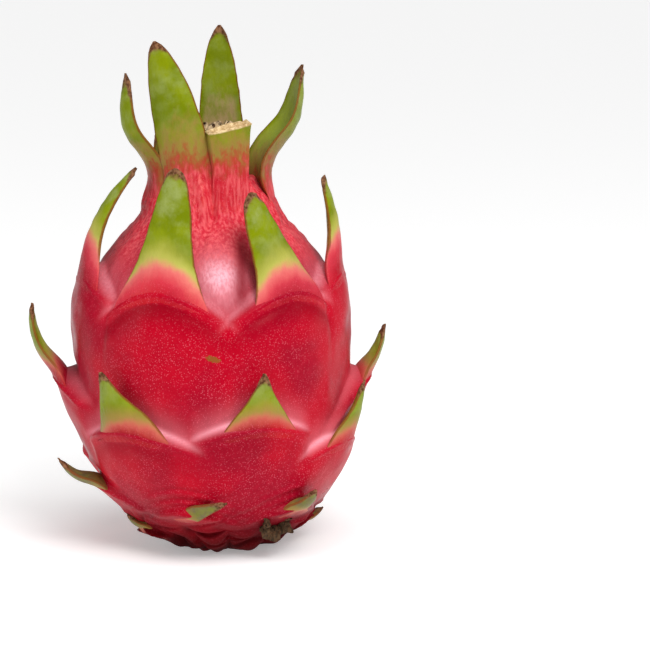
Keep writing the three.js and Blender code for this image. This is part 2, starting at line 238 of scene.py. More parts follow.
def relief(azimuth, height, radius):
    """What the scales do to the wall: its rise, how near a place is to behind an edge (pale skin, with
    painted highlights along the edges and in the widest pocket), and painted shade in creases and hollows.
    """
    rise = np.zeros_like(height)
    behind = np.zeros_like(height)
    bare = np.ones_like(height)
    painted_shade = np.zeros_like(height)
    pit = np.zeros_like(height)
    for name, (tier_name, centre, share, _, width, *_) in SCALES.items():
        tier = TIERS[tier_name]
        own = territory(name, azimuth)
        across = np.abs(turn_from(azimuth, centre)) * radius
        below = share * BODY_HEIGHT - tier["drop"] * across**1.7 - height
        under = np.maximum(below, 0)
        side = hump(across, tier["spread"])
        step = smooth(below, -EDGE_STEP, EDGE_STEP / 2)
        fade = hump(under, 0.55 * tier["run"])
        kick = tier["kick"] * hump(across, 0.6 * width) * np.exp(-under / 6)
        rim = tier["rim"] * hump(below - 1.0, 1.0) * hump(across, 1.2 * tier["spread"])
        folded = tier["fold"] * smooth(width, 23, 28)
        fold = folded * (1 - smooth(below, 4.0, 7.2)) * smooth(below, 1.6, 4.6)
        added = (tier["shoulder"] * fade * side + kick + rim - fold * side) * step * own
        brow = hump(below + 5.9, 1.1) + hump(below + 2.6, 1.1)
        added = added + tier["brow"] * brow * side * own
        # Painted shade: a dark band under the fold of a wide scale.
        line = smooth(below, 3.0, 4.6) * hump(np.maximum(below - 4.6, 0), 4.5) * side
        painted_shade = np.maximum(painted_shade, line * own * np.minimum(1, 2 * folded))
        if name in HOLLOWED:
            hollow = hump(below + 2.6, 1.9) * hump(across, 9)
            pit = np.maximum(pit, 1.3 * hollow)
            # Painted shade in the hollow.
            painted_shade = np.maximum(painted_shade, 0.75 * hollow)
        if name == BROWED:
            # Painted shade in the creases of the ridges above this scale.
            lines = hump(below + 4.2, 0.5) + hump(below + 7.6, 0.5)
            painted_shade = np.maximum(painted_shade, 0.6 * lines * hump(across, 9))
        rise = np.log(np.exp(3 * rise) + np.exp(3 * added) - 1) / 3  # a soft maximum
        if tier_name == "upper":
            bare = bare * (1 - step)
        if tier["reach"]:
            near = 0.5 * smooth(-below, -0.5, 1.5) * hump(np.maximum(-below, 0), tier["reach"])
            # A painted highlight: a pale line just behind the edge.
            near = near + 0.6 * hump(below + 1.3, 1.1)
            behind = np.maximum(behind, tier["pale"] * near * side**0.5 * own)
    # The widest pocket: pale skin, with a painted highlight where it is palest.
    pocket = hump(turn_from(azimuth, POCKET_AZIMUTH) * radius, 7.5) * hump(height - 0.8 * BODY_HEIGHT, 11)
    neck = 0.3 * hump(height - 0.86 * BODY_HEIGHT, 6)
    return rise - pit, np.maximum(behind, np.maximum(pocket, neck) * bare), painted_shade


def neck_folds(points):
    """Lengthwise wrinkles, which run from the neck up into the roots of the crown's scales."""
    return 0.8 * (np.abs(waves(points * (1, 1, 0.13), 6, 3)) - 0.4)


def base_folds(height, points):
    """How far a place belongs to the folded base, and how far it is from the bottom of a fold."""
    folds = np.abs(waves(points * (1, 1, 1.6), 25, 41))
    folds = np.minimum(folds, 0.9 * np.abs(waves(points * (1, 1, 1.2), 18, 43)) + 0.14)
    return 1 - smooth(height + 3.0 * waves(points, 22, 44), 7, 18), np.minimum(folds, 0.6)


def swell(azimuth, height, points):
    """Low swells all over, wrinkles and creases down the neck, and folds round the base."""
    lift = 0.35 * waves(points, 26, 1) + 0.14 * waves(points, 9, 2)
    lift += smooth(height, 88, 101) * neck_folds(points)
    for centre in NECK_CREASES:
        across = turn_from(azimuth, centre) * NECK_RADIUS + 1.4 * np.sin(height / 3.5 + centre)
        lift -= 1.8 * smooth(height, 90, 106) * hump(across, 1.0)
    low, folds = base_folds(height, points)
    lift += low * (4.6 * folds**0.8 - 1.4)
    return lift * smooth(height, 0.5, 6)


def pucker(azimuth, reach, height, points):
    """How far the base is drawn up between the lobes that it stands on."""
    twist = 1.3 * np.sin(2 * azimuth + 0.5) + 0.7 * np.sin(3 * azimuth + 2) + 0.05 * reach
    lobes = np.abs(np.sin(5.5 * azimuth + twist)) ** 0.6
    near_base = smooth(reach, 7, 15) * (1 - smooth(height, 3, 14))
    return near_base * (3.0 * (1 - lobes) + 0.6 * (1 - waves(points, 8, 11)))


def skin(azimuth, height):
    """Points on the body's wall, how near each is to behind an edge, and how much painted shade each has."""
    radius = wall_radius(height)
    rise, behind, painted_shade = relief(azimuth, height, radius)
    settled = smooth(height, 0, 0.06 * BODY_HEIGHT)
    rounded = 4.5 * smooth(height, 0.935 * BODY_HEIGHT, 1.02 * BODY_HEIGHT)  # the neck's rim turns inwards
    reach = radius + settled * rise - rounded
    point = outward(azimuth) * reach[..., None]
    point[..., 0] += axis_x(height)
    point[..., 2] = height
    lift = swell(azimuth, height, point)
    point[..., 2] += pucker(azimuth, reach, height, point)
    return point + outward(azimuth) * lift[..., None], behind, painted_shade


# --- Meshes ---------------------------------------------------------------------------------------
def make_mesh(name, rings, fields):
    """A closed mesh from rings of points, each going the same way round, with both ends capped.

    fields holds one value per point for each named attribute.
    """
    rows, columns = rings.shape[:2]
    index = np.arange(rows * columns).reshape(rows, columns)
    right = np.roll(index, -1, 1)
    quads = np.stack([index[:-1], right[:-1], right[1:], index[1:]], -1).reshape(-1, 4)
    caps = [rings[0].mean(0), rings[-1].mean(0)]
    points = np.vstack([rings.reshape(-1, 3), caps])
    first, last = rows * columns, rows * columns + 1
    faces = quads.tolist()
    faces += [[first, b, a] for a, b in zip(index[0], right[0])]
    faces += [[last, a, b] for a, b in zip(index[-1], right[-1])]
    mesh = bpy.data.meshes.new(name)
    mesh.from_pydata((points * MM).tolist(), [], faces)
    for key, values in fields.items():
        flat = np.append(values.reshape(-1), [values[0].mean(), values[-1].mean()])
        mesh.attributes.new(key, "FLOAT", "POINT").data.foreach_set("value", flat.astype(np.float32))
    layer = mesh.uv_layers.new(name="OFBake")
    around = np.linspace(0, 1, columns + 1)
    along = np.concatenate([[0], np.cumsum(np.linalg.norm(np.diff(rings, axis=0), axis=2).max(1))])
    along = 0.02 + 0.96 * along / along[-1]
    corners = []
    for i in range(rows - 1):
        for j in range(columns):
            corners += [(around[j], along[i]), (around[j + 1], along[i])]
            corners += [(around[j + 1], along[i + 1]), (around[j], along[i + 1])]
    for end, v in ((0, 0.0), (1, 1.0)):
        for j in range(columns):
            pair = [(around[j], along[-end]), (around[j + 1], along[-end])]
            middle = [((around[j] + around[j + 1]) / 2, v)]
            corners += middle + (pair if end else pair[::-1])
    layer.data.foreach_set("uv", np.array(corners, np.float32).reshape(-1))
    mesh.shade_smooth()
    mesh.validate()
    piece = bpy.data.objects.new(name, mesh)
    bpy.context.collection.objects.link(piece)
    return piece


def finish_piece(piece, material, slot, *nodes):
    piece.data.materials.append(material)
    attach(piece, "root")
    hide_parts(*nodes)


# --- Materials ------------------------------------------------------------------------------------
class Paint:
    """Builds one material's node tree. Values may be numbers, colours or node outputs."""

    def __init__(self, name):
        self.material = bpy.data.materials.new(name)
        self.material.use_nodes = True
        self.tree = self.material.node_tree
        self.shader = self.tree.nodes["Principled BSDF"]
        self.place = self.node("ShaderNodeTexCoord").outputs["Object"]

    def node(self, kind, **settings):
        made = self.tree.nodes.new(kind)
        for key, value in settings.items():
            setattr(made, key, value)
        return made

    def put(self, socket, value):
        if isinstance(value, bpy.types.NodeSocket):
            self.tree.links.new(value, socket)
        elif isinstance(value, (tuple, list)) and len(value) == 3 and socket.type == "RGBA":
            socket.default_value = (*value, 1)
        else:
            socket.default_value = value

    def field(self, name):
        return self.node("ShaderNodeAttribute", attribute_name=name).outputs["Fac"]

    def math(self, operation, a, b=0.0):
        made = self.node("ShaderNodeMath", operation=operation)
        self.put(made.inputs[0], a)
        self.put(made.inputs[1], b)
        return made.outputs[0]

    def mix(self, share, a, b, mode="MIX"):
        made = self.node("ShaderNodeMix", data_type="RGBA", blend_type=mode)
        self.put(made.inputs["Factor"], share)
        self.put(made.inputs[6], a)
        self.put(made.inputs[7], b)
        return made.outputs[2]

    def between(self, value, low, high, to_low=0.0, to_high=1.0):
        made = self.node("ShaderNodeMapRange", interpolation_type="SMOOTHSTEP")
        self.put(made.inputs["Value"], value)
        for key, number in (("From Min", low), ("From Max", high), ("To Min", to_low), ("To Max", to_high)):
            self.put(made.inputs[key], number)
        return made.outputs[0]

    def stretched(self, factors):
        made = self.node("ShaderNodeMapping", vector_type="POINT")
        self.put(made.inputs["Vector"], self.place)
        made.inputs["Scale"].default_value = factors
        return made.outputs[0]

    def noise(self, length, detail=3.0, roughness=0.5, vector=None):
        """A noise of about that feature length in mm, from 0 to 1."""
        made = self.node("ShaderNodeTexNoise")
        self.put(made.inputs["Vector"], vector or self.place)
        made.inputs["Scale"].default_value = 1 / (length * MM)
        made.inputs["Detail"].default_value = detail
        made.inputs["Roughness"].default_value = roughness
        return made.outputs["Fac"]

    def dots(self, spacing):
        """Distance from the nearest of many scattered points, in cells, and each one's own random."""
        made = self.node("ShaderNodeTexVoronoi", feature="F1")
        self.put(made.inputs["Vector"], self.place)
        made.inputs["Scale"].default_value = 1 / (spacing * MM)
        return made.outputs["Distance"], made.outputs["Color"]

    def bump(self, height, distance):
        made = self.node("ShaderNodeBump")
        made.inputs["Strength"].default_value = 1.0
        made.inputs["Distance"].default_value = distance * MM
        self.put(made.inputs["Height"], height)
        self.put(self.shader.inputs["Normal"], made.outputs[0])


def paint_skin(p, behind, plain, low, wrinkled):
    """The red skin's colour: blotches, pale pockets behind the scales with a painted highlight where palest,
    painted shade towards the bottom, pale wrinkles and speckles.
    """
    blotch = p.between(p.noise(26, 3), 0.38, 0.64)
    red = p.mix(blotch, (0.46, 0.001, 0.014), (0.31, 0.001, 0.015))
    fine = p.between(p.noise(2.2, 4, 0.6), 0.42, 0.75)
    red = p.mix(p.math("MULTIPLY", fine, 0.20), red, (0.56, 0.014, 0.040))
    # Painted shade: darker towards the bottom.
    red = p.mix(low, red, (0.085, 0.0, 0.001))
    streak = p.noise(0.8, 3, 0.5, p.stretched((1, 1, 0.16)))
    fibres = p.between(streak, 0.3, 0.66, 0.76, 1.0)
    pale = p.math("MULTIPLY", behind, p.math("MAXIMUM", fibres, plain))
    red = p.mix(pale, red, (0.90, 0.36, 0.42))
    # A painted highlight, near white, where the pocket is palest.
    red = p.mix(p.between(pale, 0.45, 1.0, 0.0, 0.5), red, (0.93, 0.64, 0.74))
    crests = p.between(p.noise(0.9, 3, 0.5, p.stretched((1, 1, 0.2))), 0.36, 0.70, 0.05, 0.62)
    red = p.mix(p.math("MULTIPLY", wrinkled, 0.6), red, (0.66, 0.012, 0.035))
    red = p.mix(p.math("MULTIPLY", crests, wrinkled), red, (0.90, 0.17, 0.18))
    distance, random = p.dots(0.52)
    size = p.between(random, 0.0, 1.0, 0.26, 0.46)
    spot = p.between(p.math("SUBTRACT", size, distance), 0.0, 0.20)
    patchy = p.between(p.noise(16, 2), 0.32, 0.62, 0.20, 0.44)
    spot = p.math("MULTIPLY", spot, patchy)
    return p.mix(p.math("MULTIPLY", spot, p.between(low, 0, 1, 1.0, 0.25)), red, (0.74, 0.13, 0.18))


def skin_material():
    p = Paint("skin")
    behind, wrinkled = p.field("behind"), p.field("wrinkle")
    red = paint_skin(p, behind, p.field("plain"), p.field("low"), p.field("neck"))
    # Painted shade: deep red in creases, hollows, fold bottoms and beside a scale, darker near the bottom.
    shade_red = p.mix(p.field("low"), (0.20, 0.0, 0.006), (0.02, 0, 0))
    red = p.mix(p.math("MULTIPLY", p.field("painted_shade"), 0.72), red, shade_red)
    mark = p.math("MULTIPLY", p.field("scar"), p.noise(1.6, 4, 0.7))
    red = p.mix(p.between(mark, 0.26, 0.34, 0.0, 0.75), red, (0.20, 0.10, 0.015))
    p.put(p.shader.inputs["Base Color"], red)
    matt_base = p.between(p.field("low"), 0.1, 0.8, 0.0, 0.85)
    waxy = p.between(p.noise(7, 3), 0.3, 0.7, 0.27, 0.40)
    p.put(p.shader.inputs["Roughness"], p.math("MAXIMUM", matt_base, waxy))
    p.shader.inputs["Specular IOR Level"].default_value = 0.1
    p.shader.inputs["Specular Tint"].default_value = (1.0, 0.55, 0.6, 1)
    wrinkle = p.noise(1.5, 3, 0.55, p.stretched((1, 1, 0.3)))
    wrinkle = p.math("MULTIPLY", wrinkle, p.math("ADD", wrinkled, 0.1))
    height = p.math("ADD", p.math("MULTIPLY", p.noise(3.2, 3), 0.3), p.math("MULTIPLY", wrinkle, 1.6))
    p.bump(height, 0.30)
    return p.material


def scale_material():
    p = Paint("scale")
    grow, rim, tip, inner = (p.field(k) for k in ("grow", "rim", "tip", "inner"))
    streak = p.noise(1.1, 4, 0.6, p.stretched((1, 1, 0.22)))
    mottle = p.noise(2.0, 4, 0.65, p.stretched((1, 1, 0.6)))
    streaky = p.between(p.field("warm"), 0.0, 0.5, 1.5, 0.3)
    wobble = p.math("ADD", p.math("MULTIPLY", p.math("SUBTRACT", mottle, 0.5), streaky),
                    p.math("MULTIPLY", p.math("SUBTRACT", p.noise(8, 2), 0.5), 0.6))
    reach = p.math("ADD", grow, wobble)
    crowned = p.between(p.field("warm"), 0.0, 0.5, 1.0, 0.0)
    red = paint_skin(p, 0.0, 0.0, p.field("low"), crowned)
    green = p.mix(p.between(p.noise(9, 2), 0.35, 0.65), (0.150, 0.195, 0.001), (0.215, 0.265, 0.002))
    # A grey bloom towards the tip, partly real and partly a painted sheen.
    grey = p.between(p.noise(6, 4, 0.6), 0.40, 0.72)
    green = p.mix(p.math("MULTIPLY", grey, p.field("bloom_and_sheen")), green, (0.30, 0.35, 0.11))
    # Painted light: the inner face is a paler yellow-green away from its rims, less so where it is tan.
    channel = p.math("MULTIPLY", inner, p.between(rim, 0.5, 2.5))
    lit = p.math("MULTIPLY", channel, p.between(p.field("tan"), 0, 1, 0.65, 0.1))
    green = p.mix(lit, green, (0.31, 0.37, 0.045))
    dark = p.between(p.noise(1.7, 2, 0.7), 0.64, 0.74)
    green = p.mix(p.math("MULTIPLY", dark, 0.25), green, (0.09, 0.07, 0.02))
    old = p.math("MULTIPLY", p.field("old"), p.between(p.noise(2.2, 3, 0.6), 0.35, 0.65, 0.6, 1.0))
    green = p.mix(old, green, (0.15, 0.125, 0.055))
    blush = p.mix(p.field("warm"), (0.36, 0.06, 0.020), (0.70, 0.17, 0.15))
    yellow = p.mix(p.between(p.field("warm"), 0.4, 1.0), (0.32, 0.19, 0.05), (0.46, 0.43, 0.09))
    near_green = p.between(reach, -1.1, 0.1, 0.0, 0.75)
    below_green = p.math("MULTIPLY", near_green, p.between(p.field("warm"), 0.5, 1.0))
    red = p.mix(below_green, red, (0.68, 0.055, 0.085))
    fresh = p.mix(p.between(reach, -0.35, 0.45), red, blush)
    fresh = p.mix(p.between(reach, 0.15, 0.7), fresh, yellow)
    fresh = p.mix(p.between(reach, 0.35, 1.5), fresh, green)
    tan = p.math("MULTIPLY", channel, p.field("tan"))
    tan = p.math("MULTIPLY", tan, p.between(reach, 1.2, 2.3, 0.9, 0.0))
    fresh = p.mix(tan, fresh, (0.45, 0.29, 0.16))
    brown = p.mix(p.between(p.noise(0.9, 3), 0.3, 0.7), (0.070, 0.020, 0.010), (0.27, 0.13, 0.065))
    ragged = p.math("ADD", rim, p.math("MULTIPLY", p.noise(1.5, 2), 0.5))
    edge = p.math("MULTIPLY", p.between(ragged, 0.30, 0.75, 1.0, 0.0), p.between(grow, 0.0, 0.4))
    fresh = p.mix(p.math("MULTIPLY", edge, 0.8), fresh, (0.20, 0.045, 0.012))
    wither = p.math("MULTIPLY", p.math("SUBTRACT", p.noise(2.5, 3), 0.5), 5.0)
    shrunk = p.math("ADD", tip, p.between(rim, 0.2, 1.6, -2.0, 0.0))
    dry = p.between(p.math("ADD", shrunk, wither), 1.2, 3.8, 1.0, 0.0)
    fresh = p.mix(dry, fresh, brown)
    wood = p.mix(p.between(p.noise(1.6, 4, 0.65), 0.35, 0.65), (0.40, 0.24, 0.10), (0.80, 0.60, 0.34))
    cut = p.field("cut")
    p.put(p.shader.inputs["Base Color"], p.mix(cut, fresh, wood))
    p.put(p.shader.inputs["Roughness"], p.between(p.math("MAXIMUM", dry, cut), 0, 1, 0.38, 0.8))
    p.shader.inputs["Specular IOR Level"].default_value = 0.12
    p.shader.inputs["Specular Tint"].default_value = (0.85, 1.0, 0.4, 1)
    wrinkle = p.noise(1.5, 3, 0.55, p.stretched((1, 1, 0.3)))
    at_root = p.between(grow, -0.9, 0.4, 1.0, 0.0)
    at_root = p.math("MULTIPLY", at_root, p.between(p.field("warm"), 0.0, 0.5, 2.4, 0.0))
    height = p.math("ADD", p.math("ADD", streak, p.math("MULTIPLY", p.noise(3.0, 3), 0.6)),
                    p.math("MULTIPLY", wrinkle, at_root))
    p.bump(height, 0.2)
    return p.material


def dried_material():
    p = Paint("dried")
    fibre = p.noise(0.7, 4, 0.6, p.stretched((1, 1, 0.25)))
    brown = p.mix(p.between(fibre, 0.35, 0.75), (0.016, 0.006, 0.003), (0.12, 0.056, 0.024))
    light = p.math("MULTIPLY", p.between(p.noise(1.6, 3), 0.32, 0.52), p.field("light"))
    brown = p.mix(light, brown, (0.80, 0.58, 0.34))
    p.put(p.shader.inputs["Base Color"], brown)
    p.shader.inputs["Roughness"].default_value = 0.85
    p.shader.inputs["Specular IOR Level"].default_value = 0.1
    p.bump(fibre, 0.8)
    return p.material


# --- The pieces -----------------------------------------------------------------------------------
BODY_COLUMNS, BODY_ROWS = 330, 215
FLOOR_RADII = (3, 6, 9, 11.5)  # rings of the flat spot
CUP_RINGS = (  # radius of each ring over the neck's rim and down the cup, and its rise from the rim
    (NECK_RADIUS - 5.0, 0.3), (CUP_RADIUS + 1.5, -0.6), (CUP_RADIUS, -3.0),
    (CUP_RADIUS - 0.8, 0.8 - CUP_DEPTH), (2, -CUP_DEPTH),
)
RIM_DROP = 0.5  # how far the rings of the rim and the cup are lowered


def with_ends(values, at_floor, in_cup):
    """The wall's values, with one value for all the rings of the floor and one for all of the cup's."""
    floor = np.full((len(FLOOR_RADII), BODY_COLUMNS), at_floor)
    cup = np.full((len(CUP_RINGS), BODY_COLUMNS), in_cup)
    return np.concatenate([floor, values, cup])


def make_body():
    """The body's skin, from the flat spot up the wall, over the neck's rim and down into the cup."""
    azimuth = np.linspace(0, 2 * math.pi, BODY_COLUMNS, endpoint=False)
    # Rows are evenly spaced along the outline.
    spans = np.linalg.norm(np.diff(WALL_FINE, axis=0), axis=1)
    distance = np.concatenate([[0], np.cumsum(spans)])
    heights = np.interp(np.linspace(0, distance[-1], BODY_ROWS), distance, WALL_FINE[:, 1])
    around, height = np.meshgrid(azimuth, heights)
    wall, behind, painted_shade = skin(around, height)
    # The flat spot below, and the rounded rim and cup above.
    floor_rings = [outward(azimuth) * radius for radius in FLOOR_RADII]
    top_rings = []
    for radius, rise in CUP_RINGS:
        ring = outward(azimuth) * radius
        ring[:, 0] += axis_x(BODY_HEIGHT)
        ring[:, 2] = BODY_HEIGHT - RIM_DROP + rise
        top_rings.append(ring)
    rings = np.concatenate([np.array(floor_rings), wall, np.array(top_rings)])
    for ring in rings[:len(FLOOR_RADII)]:
        ring[:, 2] += pucker(azimuth, np.hypot(ring[:, 0], ring[:, 1]), ring[:, 2], ring)
    rings[..., 2] = np.maximum(rings[..., 2], 0)
    level = rings[..., 2]
    from_scar = turn_from(np.broadcast_to(azimuth, level.shape), SCAR_AZIMUTH)
    scar = hump(from_scar * BODY_RADIUS, 3.2) * hump(level - SCAR_HEIGHT + from_scar * 14, 1.3)
    # A painted shadow beside the upper scale at the front right.
    beside = hump(wall[..., 0] - SHADOW_X, 2.1) * (wall[..., 1] < 0)
    beside = beside * smooth(height, 76, 83) * (1 - smooth(height, 95, 103))
    painted_shade = np.maximum(painted_shade, beside)
    low, folds = base_folds(height, wall)
    # Painted shade in the bottoms of the base's folds.
    painted_shade = np.maximum(painted_shade, low * (1 - smooth(folds, 0.05, 0.35)))
    behind = with_ends(behind, 0, 0.2)
    fields = {
        "behind": behind * (1 - smooth(level, 86, 103)),
        "wrinkle": np.maximum(behind, smooth(level, 88, 100)),
        "neck": smooth(level, 86, 98),
        "scar": scar,
        # Painted shade and roughness: the skin is darker and rougher towards the bottom.
        "low": 1 - smooth(level, 3, LOW_END),
        # Painted shade: half strength on the flat spot underneath, none in the cup.
        "painted_shade": with_ends(painted_shade, 0.5, 0),
        "plain": 1 - smooth(level, 68, 78),
    }
    return make_mesh("fruit_body_skin", rings, fields)


STATIONS, ACROSS = 36, 19
# How far below the root each buried row is, and how far it stands out from the skin there.
SUNK_ROWS = ((5.0, -2.6), (3.8, -1.3), (2.6, -0.3), (1.4, 0.02), (0.6, 0.06))
SUNK_INNER = -3.2  # the inner face of the buried rows, under the skin
SWAY_PLACE, SWAY_RUN = 0.42, 0.24  # where along a scale its extra slope is, and over how much
TIP_THICKNESS = 1.3
RIM_THICKNESS = 0.5


def make_scale(name, seed):
    """One scale: rows buried in the body, then rows along its curve from the root to the tip."""
    tier_name, azimuth, rise, length, width, leave, arrive, sway, lean = SCALES[name]
    tier = TIERS[tier_name]
    azimuth = np.radians(float(azimuth))
    out, side, up = outward(azimuth), sideways(azimuth), np.array([0.0, 0, 1])
    root_height = rise * BODY_HEIGHT - EDGE_STEP
    u = np.sin(np.linspace(-0.5, 0.5, ACROSS) * math.pi)
    wide = width / 2
    spread_angle = u * wide / wall_radius(root_height)
    heights = root_height - tier["drop"] * np.abs(u * wide) ** 1.7

    def on_skin(lower, lift):
        points = skin(azimuth + spread_angle, heights - lower)[0]
        return points + outward(azimuth + spread_angle) * (lift - 0.15 * np.abs(u) ** 3)[:, None]

    edge = on_skin(0, 0.08 + 0 * u)
    root = skin(np.array([azimuth]), np.array([root_height]))[0][0] + out * 0.15
    lower = skin(np.array([azimuth]), np.array([root_height - 5.0]))[0][0]
    climb = root - lower
    start_slope = math.atan2(climb @ out, climb[2])
    bend = np.hypot(root[0], root[1])
    fine = 6
    steps = (STATIONS - 1) * fine
    spot = root.copy()
    outer, inner, alongs, rims = [], [], [], []
    for down, lift in SUNK_ROWS:
        outer.append(on_skin(down, lift + 0 * u))
        inner.append(on_skin(down, SUNK_INNER + 0 * u))
        alongs.append(-down)
        rims.append(wide * (1 - np.abs(u)))
    for i in range(steps + 1):
        t = i / steps
        extra = sway * math.exp(-(((t - SWAY_PLACE) / SWAY_RUN) ** 2))
        aim = math.radians(leave + (arrive - leave) * t + extra)
        slope = start_slope + (aim - start_slope) * float(smooth(t, -0.05, 0.25))
        leaning = side * math.tan(math.radians(lean)) * float(smooth(t, -0.1, 0.15))
        along = unit(out * math.sin(slope) + up * math.cos(slope) + leaning)
        across = unit(side - along * (side @ along))
        face = unit(np.cross(across, along))
        if i % fine == 0:
            outline = tier["flare"] * max(0, 1 - t / tier["flare_to"]) ** 2
            outline += (1 - tier["flare"]) * max(0, 1 - t ** tier["full"]) ** tier["blunt"]
            half = max(0.35, wide * outline)
            depth = TIP_THICKNESS + (tier["thick"] - TIP_THICKNESS) * (1 - t) ** 0.9
            depth *= 1 - 0.6 * float(smooth(t, 0.85, 1.0))
            curve = half**2 / (2 * bend) + 0.26 * half * float(smooth(t, 0, 0.3))
            droop = tier["drop"] * half**1.7 * (1 - float(smooth(t, 0, 0.5)))
            shape = across * (half * u)[:, None] - face * (curve * u**2)[:, None]
            shape = shape - along * (droop * u**2)[:, None]
            if i == 0:
                first = root + shape
            blend = 1 - float(smooth(t, 0, 0.35))
            here = spot + shape + (edge - first) * blend
            thickness = RIM_THICKNESS + (depth - RIM_THICKNESS) * (1 - u**2)
            outer.append(here)
            inner.append(here - face * thickness[:, None])
            alongs.append(t * length)
            rims.append(half * (1 - np.abs(u)))
        spot = spot + along * (length / steps)
    outer, inner = np.array(outer), np.array(inner)
    rings = np.concatenate([outer, inner[:, ::-1]], 1)
    alongs = np.array(alongs)
    full = np.repeat(alongs[:, None], 2 * ACROSS, 1)
    if tier_name == "crown":
        wrinkled = neck_folds(rings) * (1 - smooth(full, 2, 17)) * smooth(full, -0.5, 1.5)
        rings = rings + out * wrinkled[..., None]
    rims = np.array(rims)
    rims = np.concatenate([rims, rims[:, ::-1]], 1)
    away = unit(rings - rings.mean(1, keepdims=True))
    rings = rings + away * (0.12 * waves(rings, 5, seed) * smooth(full, 3, 12))[..., None]
    rings[..., 2] = np.maximum(rings[..., 2], 0.15)
    wither = 0.45 * waves(rings, 3.0, seed + 50) * smooth(full / length, 0.86, 0.98)
    rings = rings + wither[..., None] * unit(out + 0.4 * side)
    both = np.concatenate([u, u[::-1]])
    face_in = np.repeat((np.arange(2 * ACROSS) >= ACROSS)[None, :] * 1.0, len(rings), 0)
    # The green comes further down along the rims and on the inner face.
    start = tier["green"] * (1 - tier["dip"] * both**2) * (1 - 0.6 * face_in) + GREEN_SHIFT.get(name, 0)
    usual_share = 1.0 if length > SHORT_SCALE else SHORT_TIP_SHARE
    fields = {
        "grow": (full - start) / tier["fade"],
        "rim": rims,
        "tip": (length - full) * TIP_SHARE.get(name, usual_share),
        "inner": face_in,
        "warm": np.full(full.shape, {"crown": 0.0, "upper": 1.0}.get(tier_name, 0.5)),
        # A grey bloom towards the tip, partly a painted sheen.
        "bloom_and_sheen": smooth(full / length, 0.2, 0.8) * {"crown": 0.55, "upper": 0.8}.get(tier_name, 0.5),
        "old": np.full(full.shape, float(tier_name == "base")),
        "tan": np.full(full.shape, float(name == TANNED)),
        # Painted shade: darker towards the bottom.
        "low": 1 - smooth(rings[..., 2], 3, LOW_END),
    }
    return make_mesh(name + "_leaf", rings, fields)


def make_cut_scale():
    """The crown scale that was cut off short, with its dry cut face."""
    azimuth = np.radians(float(CUT_SCALE["azimuth"]))
    out, side = outward(azimuth), sideways(azimuth)
    root_height = CUT_SCALE["root"] * BODY_HEIGHT - EDGE_STEP
    wide = CUT_SCALE["width"] / 2
    u = np.sin(np.linspace(-0.5, 0.5, ACROSS) * math.pi)
    bend = wall_radius(root_height)
    spread_angle = u * wide / bend
    outer, inner, alongs = [], [], []
    for down, lift in SUNK_ROWS:
        points = skin(azimuth + spread_angle, np.full(ACROSS, root_height - down))[0]
        outer.append(points + outward(azimuth + spread_angle) * lift)
        inner.append(points + outward(azimuth + spread_angle) * SUNK_INNER)
        alongs.append(np.full(ACROSS, -down))
    base = skin(azimuth + spread_angle, np.full(ACROSS, root_height))[0]
    base = base + outward(azimuth + spread_angle) * 0.15
    slant = math.tan(math.radians(CUT_SCALE["tilt"]))
    top = BODY_HEIGHT + CUT_SCALE["rise"] + slant * wide * u
    rows = 22
    for i in range(rows + 1):
        t = i / rows
        half = wide * (1 - 0.14 * math.sin(math.pi * t) ** 2 + 0.06 * t**4)
        thickness = CUT_SCALE["thickness"] * (1 - 0.35 * u**2)
        pair = []
        for depth in (0 * u, thickness):
            height = root_height + (top + 0.12 * depth - root_height) * t
            sunk = 1.6 * np.abs(u) ** 3 * (1 - float(smooth(t, 0.1, 0.55)))
            reach = bend + 0.2 - 0.9 * t - 0.03 * (half * u) ** 2 - sunk - depth
            here = out * reach[:, None] + side * (half * u)[:, None]
            here[:, 0] += axis_x(height)
            here[:, 2] = height
            pair.append(here)
        if i == 0:
            shift = base - pair[0]
        settle = shift * (1 - float(smooth(t, 0, 0.5)))
        outer.append(pair[0] + settle)
        inner.append(pair[1] + settle)
        alongs.append(pair[0][:, 2] - root_height)
    rings = np.concatenate([np.array(outer), np.array(inner)[:, ::-1]], 1)
    along = np.array(alongs)
    full = np.concatenate([along, along[:, ::-1]], 1)
    body_rows = len(rings)
    uneven = 0.25 * waves(rings * (1, 1, 0.4), 4, 90) * smooth(full, 1, 8)
    rings = rings + unit(rings - rings.mean(1, keepdims=True)) * uneven[..., None]
    wrinkled = neck_folds(rings) * (1 - smooth(full, 6, 20)) * smooth(full, -0.5, 1.5)
    rings = rings + out * wrinkled[..., None]
    # The cut face: a proud dry rim, then a shallow hollow.
    centre, last = rings[-1].mean(0), rings[-1]
    for share, drop in ((1.04, -0.5), (0.97, -0.9), (0.86, -0.8), (0.7, 0.1), (0.4, 0.6), (0.15, 0.7)):
        ring = centre + (last - centre) * share
        ring[:, 2] -= drop
        ring += waves(ring, 1.6, 91)[:, None] * (0, 0, 0.25)
        rings = np.concatenate([rings, ring[None]])
        full = np.concatenate([full, full[body_rows - 1:body_rows]])
    cut = np.zeros(full.shape)
    cut[body_rows:] = 1
    fields = {
        "grow": (full - TIERS["crown"]["green"]) / 10.0,
        "rim": np.full(full.shape, 9.0),  # far from any rim or tip, so neither is brown
        "tip": np.full(full.shape, 99.0),
        "inner": 0 * full,
        "bloom_and_sheen": 0.1 + 0 * full,
        "low": 0 * full,
        "cut": cut,
    }
    return make_mesh("cut_scale_leaf", rings, fields)


